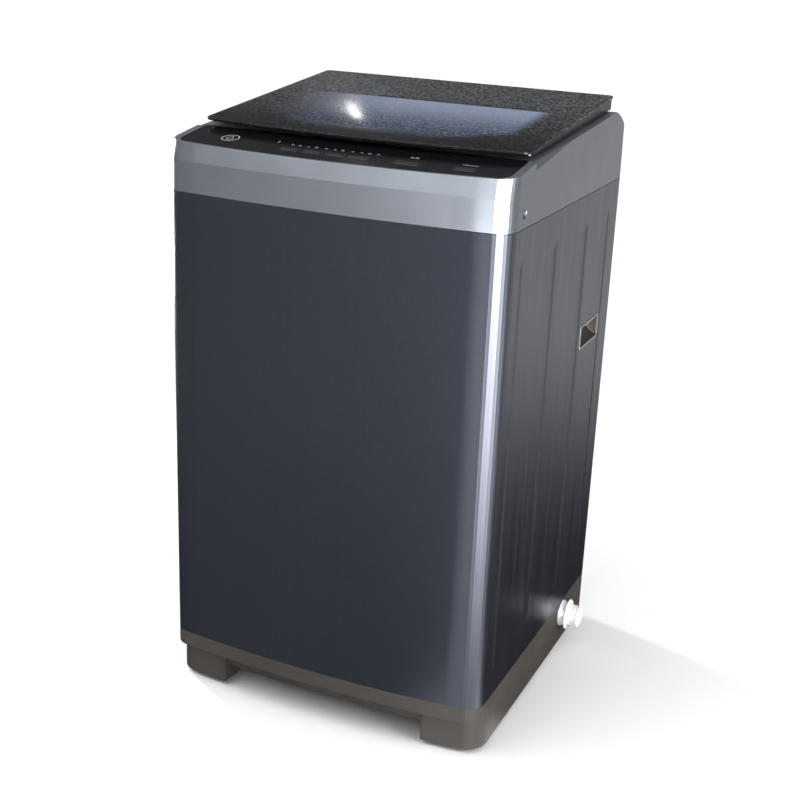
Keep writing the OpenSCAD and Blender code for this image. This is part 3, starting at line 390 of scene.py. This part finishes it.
STEEL = (0.52, 0.52, 0.53)
MATERIALS = {
    "cabinet": cabinet_material(),
    # the top covers' faces to the left and right get painted shade, 0.48 and 0.58 of their tone
    "silver": paint("silver_paint", lin(150, 155, 164), rough=0.33, metal=0.85, coat=0.15, flake=0.10, side=0.48),
    "rear_silver": paint("rear_cover_paint", lin(140, 144, 152), rough=0.38, metal=0.7, coat=0.1, flake=0.12,
                         side=0.58),
    "panel": gloss("panel_gloss", lin(14, 14, 17), rough=0.14, coat=0.0, speck=0.05, spec=0.30),
    "key": gloss("key_gloss", lin(26, 26, 30), rough=0.16),
    "lid_frame": gloss("lid_frame_gloss", lin(8, 8, 10), rough=0.26, coat=0.0, spec=0.3),
    "lid_glass": lid_glass_material(),
    "base": plastic("base_plastic", lin(68, 63, 59), rough=0.5, edge=1.2, spec=0.25),
    "dark": plastic("dark_plastic", lin(30, 30, 32), rough=0.5),
    "handle": plastic("handle_plastic", lin(50, 45, 41), rough=0.5, edge=0.8, spec=0.3),
    "white": plastic("white_plastic", lin(248, 249, 248), rough=0.35, vary=0.03, coat=0.2, edge=0.8),
    "tub": plastic("tub_plastic", lin(206, 209, 211), rough=0.42, vary=0.05),
    "grey": plastic("grey_plastic", lin(150, 154, 158), rough=0.42, vary=0.06),
    "balance": plastic("balance_plastic", lin(176, 180, 184), rough=0.36, vary=0.05, coat=0.2),
    "pulsator": plastic("pulsator_plastic", lin(196, 200, 206), rough=0.3, vary=0.05, coat=0.3),
    "filter": plastic("filter_plastic", lin(150, 176, 204), rough=0.35, vary=0.06),
    "board": board_material(),
    "galvanised": galvanised("galvanised_sheet"),
    "rear_sheet": galvanised("rear_sheet", (0.42, 0.43, 0.45)),
    "stainless": stainless_material(),
    "shaft": metal("ground_steel", STEEL, rough=0.22, stretch=(1, 1, 40)),
    "spring": metal("spring_steel", shade(STEEL, 0.8), rough=0.3, stretch=(1, 1, 8), spots=0.3),
    "gear": metal("sintered_steel", shade(STEEL, 0.72), rough=0.42, stretch=(1, 1, 1), scale=240, spots=0.3),
    "alloy": cast("cast_alloy", (0.50, 0.51, 0.52)),
    "motor": cast("motor_paint", lin(44, 46, 50), rough=0.45, metallic=0.3),
    "rubber": rubber("black_rubber", lin(22, 22, 22)),
    "seal": rubber("plug_rubber", lin(128, 52, 34), rough=0.6),
    "hose": rubber("hose_rubber", lin(64, 66, 70), rough=0.6, ribs=0.006),
    "legend": plastic("legend_ink", lin(176, 180, 186), rough=0.5, grain=2400, depth=0.01, vary=0.06, edge=0),
    "legend_dim": plastic("legend_ink_dim", lin(64, 66, 72), rough=0.5, grain=2400, depth=0.01, vary=0.1, edge=0),
    "plug": paint("plug_paint", lin(66, 70, 78), rough=0.40, metal=0.6, coat=0.1, flake=0.10),
    "handle_rim": plastic("handle_rim_plastic", lin(132, 128, 124), rough=0.3, coat=0.4, edge=0.3),
}

FINISH = {
    "cabinet": "cabinet_shell", "silver": "top_cover", "rear_silver": "rear_top_cover", "panel": "control_panel",
    "key": "program_key level_key rinse_key spin_key start_key power_key", "lid_frame": "lid_frame",
    "lid_glass": "lid_glass", "base": "base_frame",
    "dark": "rear_feet pressure_sensor cord_gland drain_motor", "handle": "side_handles",
    "white": "inlet_valve drain_outlet detergent_drawer damper_cups", "tub": "outer_tub",
    "grey": "dispenser_housing tub_cover_ring drain_valve_body basket_base", "balance": "balance_ring",
    "pulsator": "pulsator", "filter": "lint_filters", "board": "control_board",
    "galvanised": "suspension_brackets mounting_plate", "rear_sheet": "rear_panel", "stainless": "basket_wall",
    "shaft": "rear_screws hinge_pins spin_bearings brake_drum wash_shaft motor_rotor suspension_rods",
    "plug": "cover_plugs",
    "spring": "suspension_springs", "gear": "ring_gear planet_gear_1 planet_gear_2 planet_gear_3 input_shaft",
    "alloy": "reducer_housing basket_hub driven_pulley motor_pulley", "motor": "motor_stator",
    "rubber": "shaft_seal drive_belt foot_left foot_right", "seal": "drain_plug", "hose": "drain_hose",
}


for finish, names in FINISH.items():
    for name in names.split():
        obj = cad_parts[name]
        obj.data.materials.clear()
        obj.data.materials.append(MATERIALS[finish])


# ---------- modelled pieces ----------

def piece(name, verts, faces, finish, body, angle=30):
    """A mesh in millimetres, in the part's frame, that moves with a body."""
    mesh = bpy.data.meshes.new(name)
    mesh.from_pydata([tuple(c * MM for c in v) for v in verts], [], faces)
    mesh.update()
    obj = bpy.data.objects.new(name, mesh)
    bpy.context.collection.objects.link(obj)
    mesh.materials.append(MATERIALS[finish])
    for face in mesh.polygons:
        face.use_smooth = True
    mesh.set_sharp_from_angle(angle=math.radians(angle))
    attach(obj, body)
    return obj


class Solid:
    """Collects closed skins made of loops with equal point counts."""

    def __init__(self):
        self.v, self.f = [], []

    def skin(self, loops, caps=True, closed=False):
        """Joins each loop to the next. caps fills the first and last; closed joins the last to the first."""
        base, n, m = len(self.v), len(loops[0]), len(loops)
        for loop in loops:
            self.v += loop
        for j in range(m if closed else m - 1):
            for k in range(n):
                a, b = base + j * n, base + ((j + 1) % m) * n
                self.f.append((a + k, a + (k + 1) % n, b + (k + 1) % n, b + k))
        if caps and not closed:
            self.f.append(tuple(base + k for k in reversed(range(n))))
            self.f.append(tuple(base + (m - 1) * n + k for k in range(n)))
        return self

    def lathe(self, profile, place, n):
        """Turns (along, radius) points about place's axis; place maps (along, u, v) to a point."""
        loops = []
        for along, r in profile:
            loops.append([place(along, r * math.cos(2 * math.pi * k / n), r * math.sin(2 * math.pi * k / n))
                          for k in range(n)])
        closed = profile[0][1] > 0.01
        return self.skin(loops, caps=not closed, closed=closed)

    def ribbon(self, points, width, place, low=-0.05, high=0.12, closed=False):
        """A raised line of that width through flat points; place maps (x, y, height) to a point."""
        n = len(points)
        loops = []
        for k, (x, y) in enumerate(points):
            a = points[k - 1] if (k or closed) else points[k]
            b = points[(k + 1) % n] if (k < n - 1 or closed) else points[k]
            dx, dy = b[0] - a[0], b[1] - a[1]
            size = math.hypot(dx, dy) or 1
            nx, ny = -dy / size * width / 2, dx / size * width / 2
            loops.append([place(x + nx, y + ny, low), place(x + nx, y + ny, high),
                          place(x - nx, y - ny, high), place(x - nx, y - ny, low)])
        return self.skin(loops, caps=not closed, closed=closed)

    def make(self, name, finish, body, angle=30):
        return piece(name, self.v, self.f, finish, body, angle)


def box_mm(node):
    """A node's low and high corners in millimetres."""
    low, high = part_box(node)
    return [c / MM for c in low], [c / MM for c in high]


def arc_points(cx, cy, r, a0, a1, n):
    """n + 1 points round an arc, angles in degrees."""
    return [(cx + r * math.cos(math.radians(a0 + (a1 - a0) * k / n)),
             cy + r * math.sin(math.radians(a0 + (a1 - a0) * k / n))) for k in range(n + 1)]


def rounded_loop(w, h, r, n=6):
    """Rounded rectangle about the origin, as (u, v) points."""
    out = []
    for cx, cy, a in ((w / 2 - r, h / 2 - r, 0), (r - w / 2, h / 2 - r, 90),
                      (r - w / 2, r - h / 2, 180), (w / 2 - r, r - h / 2, 270)):
        out += arc_points(cx, cy, r, a, a + 90, n)
    return out


# The front of the cabinet is an arc: BOW is how far its middle stands out past its corners.
CABINET_HALF, CABINET_FRONT, BOW = 270.0, -281, 16.0
BOW_R = (CABINET_HALF ** 2 + BOW ** 2) / (2 * BOW)
LID_SLOPE, DECK_SLOPE = 0.0982, 0.1524


def above(node, slope):
    """Maps x, y and a height above a node's sloping top face to a point."""
    high = box_mm(node)[1]
    return lambda x, y, h: (x, y, high[2] + slope * (y - high[1]) + h)


def bowed_outline(front_y, half, rear, r_front, r_rear, inset, n=24):
    """Outline with a bowed front whose middle is at front_y, drawn in by inset."""
    radius = BOW_R - (front_y - CABINET_FRONT)
    centre = front_y + radius
    radius -= inset
    half, rear = half - inset, rear - inset
    r_front, r_rear = r_front - inset, r_rear - inset
    end = math.asin((half - r_front) / (radius - r_front))
    right = [(radius * math.sin(end * k / n), centre - radius * math.cos(end * k / n)) for k in range(n + 1)]
    cy = centre - (radius - r_front) * math.cos(end)
    right += arc_points(half - r_front, cy, r_front, math.degrees(end) - 90, 0, 10)[1:]
    right += arc_points(half - r_rear, rear - r_rear, r_rear, 0, 90, 8)
    return right + [(-x, y) for x, y in reversed(right[1:])]


def lid_plate():
    """The lid's glass, with ground edges."""
    low, high = box_mm("lid_glass")
    top = above("lid_glass", LID_SLOPE)
    loops = []
    for inset, drop in ((1.4, 4.0), (0.35, 3.7), (0.0, 3.0), (0.0, 1.3), (0.3, 0.55), (0.8, 0.15), (1.6, 0.0)):
        loops.append([top(x, y, -drop) for x, y in bowed_outline(low[1], high[0], high[1], 12, 8, inset)])
    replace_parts(Solid().skin(loops).make("lid_plate", "lid_glass", "lid", 50), "lid_glass")


lid_plate()


def lid_line():
    """A thin dark bar standing proud of the glass behind the window."""
    line = Solid().ribbon([(-86, 67), (0, 67), (92, 67), (164, 67)], 3.0, above("lid_glass", LID_SLOPE), high=0.25)
    line.make("lid_line", "lid_frame", "lid")


lid_line()


KEYS = ["program_key", "level_key", "rinse_key", "spin_key", "start_key", "power_key"]


def panel_legends():
    """What is printed on the panel: an emblem, an index mark, a row of symbols and the keys' captions."""
    face = above("control_panel", DECK_SLOPE)
    print_ = Solid()
    # a drop of water in a ring
    print_.ribbon(arc_points(-187, -219, 13.0, 0, 350, 35), 1.1, face, closed=True)
    print_.ribbon([(-187, -210.5)] + arc_points(-187, -221, 5.0, 150, 390, 16), 0.9, face, closed=True)
    # index mark
    print_.ribbon([(-110, -216), (-110, -208)], 0.7, face)
    # symbols in a row over the keys
    y = -218
    for k, x in enumerate((-84, -72, -58, -46, -30, -16, -4, 12, 26, 38, 52)):
        if k % 3 == 0:
            print_.ribbon(arc_points(x, y, 2.0, 0, 330, 11), 0.45, face, closed=True)
        elif k % 3 == 1:
            print_.ribbon([(x - 2.4, y - 1.2), (x + 2.4, y - 1.2)], 0.45, face)
            print_.ribbon([(x - 2.4, y + 1.0), (x + 1.2, y + 1.0)], 0.45, face)
        else:
            print_.ribbon([(x - 2, y - 1.6), (x, y + 1.6), (x + 2, y - 1.6)], 0.45, face, closed=True)
    # start and pause
    print_.ribbon([(100, -216.5), (100, -211.5), (104, -214)], 0.9, face, closed=True)
    for x in (107.0, 110.0):
        print_.ribbon([(x, -216.5), (x, -211.5)], 1.2, face)
    # caption of the power key, as plain bars
    for k in range(6):
        print_.ribbon([(178 + 4 * k, -219), (180.6 + 4 * k, -219)], 1.0, face)
    print_.make("panel_legends", "legend", "cabinet")


def key_surrounds():
    """A thin printed line round each key."""
    face = above("control_panel", DECK_SLOPE)
    rings = Solid()
    for node in KEYS:
        low, high = box_mm(node)
        cx, cy = (low[0] + high[0]) / 2, (low[1] + high[1]) / 2
        loop = [(cx + u, cy + v) for u, v in rounded_loop(high[0] - low[0] + 1.5, high[1] - low[1] + 1.0, 3.4)]
        rings.ribbon(loop, 0.35, face, high=0.08, closed=True)
    rings.make("key_surrounds", "legend_dim", "cabinet")


def key_marks():
    """The mark on each key, which moves with it."""
    for node in KEYS:
        low, high = box_mm(node)
        cx, cy = (low[0] + high[0]) / 2, (low[1] + high[1]) / 2
        on_key = above(node, DECK_SLOPE)
        mark = Solid()
        if node == "power_key":
            mark.ribbon(arc_points(cx, cy, 2.4, 120, 420, 18), 0.55, on_key)
            mark.ribbon([(cx, cy + 0.8), (cx, cy + 3.2)], 0.55, on_key)
        elif node == "start_key":
            mark.ribbon([(cx - 8, cy), (cx + 8, cy)], 0.8, on_key)
        else:
            mark.ribbon([(cx - 5.5, cy), (cx + 5.5, cy)], 0.9, on_key)
        mark.make(node.replace("_key", "_mark"), "legend", node.replace("_key", "_button"))


panel_legends()
key_surrounds()
key_marks()


def side_handles():
    """Finger pulls: a pocket that hooks up behind the sheet, inside a light rounded rim."""
    low, high = box_mm("side_handles")
    cy, cz = (low[1] + high[1]) / 2, (low[2] + high[2]) / 2
    face = high[0] - 1.1
    pocket, rim = Solid(), Solid()

    def loops(side, rows):
        """Rounded rectangles from rows of (distance past the sheet, width, height, corner radius, rise)."""
        out = [[(side * (face + x), cy + u, cz + v + dz) for u, v in rounded_loop(w, h, r)]
               for x, w, h, r, dz in rows]
        return out if side > 0 else [loop[::-1] for loop in out]

    for side in (1, -1):
        pocket.skin(loops(side, ((-26, 93, 35, 3, 0), (0.0, 93.6, 35.6, 3, 0), (0.4, 93.6, 35.6, 3, 0),
                                 (0.4, 90.6, 32.6, 3.0, 0), (0.1, 90.2, 32.2, 3.0, 0), (-1.6, 90.0, 32.0, 3.0, 0),
                                 (-8, 88.5, 29.0, 4.0, 1.2), (-16, 87.0, 22.0, 5.0, 4.4), (-23, 84.0, 13.0, 5.0, 8.0),
                                 (-24, 80.0, 9.0, 4.0, 8.0))))
        rim.skin(loops(side, ((0.1, 97.2, 39.2, 3.4, 0), (0.6, 97.4, 39.4, 3.5, 0), (0.95, 97.0, 39.0, 3.4, 0),
                              (1.1, 96.0, 38.0, 3.2, 0), (1.1, 93.8, 35.8, 3.0, 0), (0.95, 92.8, 34.8, 3.0, 0),
                              (0.6, 92.4, 34.4, 3.0, 0), (0.1, 92.6, 34.6, 3.0, 0))), closed=True)
    shown = pocket.make("side_handle_pockets", "handle", "cabinet", 40)
    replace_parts(shown, "side_handles")
    rim.make("side_handle_rims", "handle_rim", "cabinet", 60)


side_handles()


def drain_spigot():
    """Boot, flange and barrel with hose ribs and a lip."""
    low, high = box_mm("drain_outlet")
    cy, cz = (low[1] + high[1]) / 2, (low[2] + high[2]) / 2
    reach = 34
    x0 = high[0] - reach
    profile = [(-8, 14), (-8, 20.4), (0.6, 20.4), (0.8, 23.0), (1.6, 23.2), (4, 22.2), (8, 20.0), (11.4, 18.6),
               (11.8, 19.2), (12.0, 25.6), (12.5, 26.4), (13.6, 26.5), (14.5, 26.2), (14.9, 25.4), (15.0, 19.4),
               (15.6, 18.3), (19.0, 18.2), (19.6, 19.0), (21.6, 18.3), (24.6, 18.2), (25.2, 19.0), (27.2, 18.3),
               (30.2, 18.2), (30.8, 18.9), (32.6, 19.0), (33.6, 18.6), (34.0, 17.8), (34.0, 15.6), (33.2, 14.6),
               (31.0, 14.0)]
    solid = Solid().lathe(profile, lambda along, u, v: (x0 + along, cy + u, cz + v), 96)
    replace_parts(solid.make("drain_spigot", "white", "cabinet", 35), "drain_outlet")


drain_spigot()


def plug_caps():
    """Push-in caps with a raised rim and a dished face."""
    low, high = box_mm("cover_plugs")
    cy, cz = (low[1] + high[1]) / 2, (low[2] + high[2]) / 2
    solid = Solid()
    for side in (1, -1):
        profile = [(-6, 0.001), (-6, 9.3), (-5.8, 9.5), (-3.1, 9.5), (-2.9, 9.3), (-2.9, 7.4), (-0.5, 7.4),
                   (-0.1, 7.1), (0.0, 6.7), (-0.1, 6.2), (-0.7, 5.8), (-1.2, 4.5), (-1.3, 2.0), (-1.3, 0.001)]
        solid.lathe(profile, lambda along, u, v, s=side: (s * (high[0] + along), cy + u, cz + v * s), 64)
    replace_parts(solid.make("cover_plug_caps", "plug", "cabinet", 35), "cover_plugs")


plug_caps()


def cross_screws():
    """Pan-head screws with a cross recess, down both rear corners."""
    low, high = box_mm("rear_screws")
    r_head, r_shank, pitch, n = 4.2, 1.95, 160, 48
    x0 = high[0] - r_head
    heights = [low[2] + r_head + pitch * k for k in range(4)] + [high[2] - r_head]
    angles = [2 * math.pi * k / n for k in range(n)]
    cross = []
    for a in angles:
        folded = abs((a + math.pi / 4) % (math.pi / 2) - math.pi / 4)
        cross.append(min(r_head * 0.62 / math.cos(folded), r_head * 0.16 / max(math.sin(folded), 1e-6)))
    face = high[1]
    # from the bottom of the recess, over the head and down to the shank's tip, as (y, radii)
    rows = [(face - 1.3, [0.8 * r for r in cross]), (face - 0.02, cross)]
    for y, r in ((face - 0.15, r_head * 0.74), (face - 0.7, r_head * 0.9), (face - 1.4, r_head),
                 (face - 2.4, r_head), (face - 2.4, r_shank), (low[1] + 1.5, r_shank), (low[1], 1.0)):
        rows.append((y, [r] * n))
    solid = Solid()
    for side in (1, -1):
        for z in heights:
            solid.skin([[(side * x0 + r * math.cos(a), y, z + r * math.sin(a)) for a, r in zip(angles, radii)]
                        for y, radii in rows])
    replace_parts(solid.make("cross_screws", "shaft", "cabinet", 28), "rear_screws")


cross_screws()


# ---------- stage and light ----------

def floor_plane(half=30):
    mesh = bpy.data.meshes.new("floor")
    mesh.from_pydata([(-half, -half, 0), (half, -half, 0), (half, half, 0), (-half, half, 0)], [], [(0, 1, 2, 3)])
    mesh.materials.append(floor_material())
    obj = bpy.data.objects.new("floor", mesh)
    bpy.context.collection.objects.link(obj)
    return obj


def floor_material():
    """Pale floor, white in the distance. In reflections it is a studio's dark sweep, lighter further out."""
    m = Mat("floor_pale", rough=0.7, spec=0.2, edge=0)
    m.colour(m.mix(m.noise(2.0, 4), (0.86, 0.86, 0.86), (0.90, 0.90, 0.90)))
    x, y, _ = split(m)
    away = m.math("SQRT", m.math("ADD", m.math("MULTIPLY", x, x), m.math("MULTIPLY", y, y)))
    path = m.node("ShaderNodeLightPath")
    white = m.node("ShaderNodeEmission")
    white.inputs["Color"].default_value = (1.04, 1.04, 1.04, 1)
    far = m.node("ShaderNodeMixShader")
    m.link(m.math("MULTIPLY", m.ramp(away, 0.45, 1.6), path.outputs["Is Camera Ray"]), far.inputs[0])
    m.link(m.b.outputs[0], far.inputs[1])
    m.link(white.outputs[0], far.inputs[2])

    def towards(azimuth, low, high):
        """Rises from 0 to 1 as a point's direction from the machine nears that azimuth."""
        a = math.radians(azimuth)
        along = m.math("SUBTRACT", m.math("MULTIPLY", x, math.sin(a)), m.math("MULTIPLY", y, math.cos(a)))
        return m.ramp(m.math("DIVIDE", along, away), low, high)

    sweep = m.math("MULTIPLY", m.ramp(away, 0.60, 2.3, 0.004, 1.0), m.math("ADD", towards(150, 0.1, 0.8), 0.40))
    sweep = m.math("MULTIPLY", sweep, 0.42)
    lit = m.math("MULTIPLY", towards(30, 0.1, 0.85), m.ramp(away, 0.5, 2.6, 0.0, 0.28))
    # painted light: in reflections the floor glows bright towards azimuth 42, carrying the soft box's sheen down to
    # the floor
    box = m.math("MULTIPLY", towards(42, 0.88, 0.995), m.ramp(away, 0.45, 2.2, 2.0, 21.0))
    glow = m.node("ShaderNodeEmission")
    m.link(m.math("ADD", m.math("ADD", sweep, lit), box), glow.inputs["Strength"])
    swap = m.node("ShaderNodeMixShader")
    m.link(path.outputs["Is Glossy Ray"], swap.inputs[0])
    m.link(far.outputs[0], swap.inputs[1])
    m.link(glow.outputs[0], swap.inputs[2])
    m.link(swap.outputs[0], m.t.nodes["Material Output"].inputs["Surface"])
    return m.m


LIGHT_FROM_SKY, SKY_IN_VIEW = 0.55, 1.05


def studio_world():
    """White surroundings; in reflections a dim studio, brighter to the front right and low behind."""
    world = bpy.data.worlds.new("studio")
    world.use_nodes = True
    t = world.node_tree
    link = t.links.new
    back = t.nodes["Background"]
    back.inputs["Strength"].default_value = 1.0
    way = t.nodes.new("ShaderNodeTexCoord").outputs["Generated"]

    def facing(azimuth, low, high, to_low, to_high, elevation=0):
        """Goes from to_low to to_high as the way looked in nears that azimuth and elevation."""
        a, e = math.radians(azimuth), math.radians(elevation)
        dot = t.nodes.new("ShaderNodeVectorMath")
        dot.operation = "DOT_PRODUCT"
        link(way, dot.inputs[0])
        dot.inputs[1].default_value = (math.sin(a) * math.cos(e), -math.cos(a) * math.cos(e), math.sin(e))
        ramp = t.nodes.new("ShaderNodeMapRange")
        ramp.interpolation_type = "SMOOTHSTEP"
        link(dot.outputs["Value"], ramp.inputs[0])
        for k, v in enumerate((low, high, to_low, to_high)):
            ramp.inputs[k + 1].default_value = v
        return ramp.outputs[0]

    def calc(op, a, b):
        n = t.nodes.new("ShaderNodeMath")
        n.operation = op
        for k, v in enumerate((a, b)):
            if hasattr(v, "is_output"):
                link(v, n.inputs[k])
            else:
                n.inputs[k].default_value = v
        return n.outputs[0]

    front = facing(36, 0.15, 0.9, 0.0, 1.2)
    rear = facing(160, 0.3, 1.0, 0.0, 0.22)
    low = facing(0, 0.22, 0.5, 1.0, 0.12, elevation=90)
    seen = calc("ADD", calc("MULTIPLY", calc("ADD", front, rear), low), 0.09)
    path = t.nodes.new("ShaderNodeLightPath")
    level = t.nodes.new("ShaderNodeMix")
    level.data_type = "FLOAT"
    link(path.outputs["Is Glossy Ray"], level.inputs[0])
    plain = t.nodes.new("ShaderNodeMix")
    plain.data_type = "FLOAT"
    link(path.outputs["Is Camera Ray"], plain.inputs[0])
    plain.inputs[2].default_value = LIGHT_FROM_SKY
    plain.inputs[3].default_value = SKY_IN_VIEW
    link(plain.outputs[0], level.inputs[2])
    link(seen, level.inputs[3])
    tone = t.nodes.new("ShaderNodeCombineColor")
    for k, gain in enumerate((0.97, 0.985, 1.0)):
        link(calc("MULTIPLY", level.outputs[0], gain), tone.inputs[k])
    link(tone.outputs[0], back.inputs["Color"])
    return world


floor_plane()
bpy.context.scene.world = studio_world()


def area(name, azimuth, elevation, distance, width, height, power, look_at=(0, 0, 0.5), diffuse=True, glossy=True):
    """A soft box. azimuth 0 is in front of the machine, 90 to its right. Without diffuse it only shows as a sheen,
    and without glossy it leaves none."""
    a, e = math.radians(azimuth), math.radians(elevation)
    at = Vector(look_at)
    place = at + distance * Vector((math.sin(a) * math.cos(e), -math.cos(a) * math.cos(e), math.sin(e)))
    data = bpy.data.lights.new(name, "AREA")
    data.shape = "RECTANGLE"
    data.size, data.size_y = width, height
    data.energy = power
    obj = bpy.data.objects.new(name, data)
    obj.location = place
    obj.rotation_euler = (at - place).to_track_quat("-Z", "Y").to_euler()
    obj.visible_diffuse = diffuse
    obj.visible_glossy = glossy
    bpy.context.collection.objects.link(obj)


area("sheen_core", 42, 4, 2.6, 0.8, 2.6, 165, diffuse=False)
area("sheen_middle", 42, 4, 2.7, 2.1, 2.6, 90, diffuse=False)
area("sheen_wide", 42, 6, 3.0, 3.3, 2.4, 46, diffuse=False)
area("sheen_left", -112, 5, 2.6, 0.30, 2.4, 90)
area("key_left", -38, 52, 3.2, 2.8, 2.8, 72)
area("key_right", 78, 16, 3.0, 1.8, 1.6, 70, glossy=False)
area("fill_top", 20, 80, 2.6, 2.0, 2.0, 14)
area("window_streak", -154.5, 19.5, 2.4, 0.03, 0.24, 0.22, look_at=(-0.165, -0.090, 0.922), diffuse=False)

bpy.context.scene.view_settings.view_transform = "Standard"
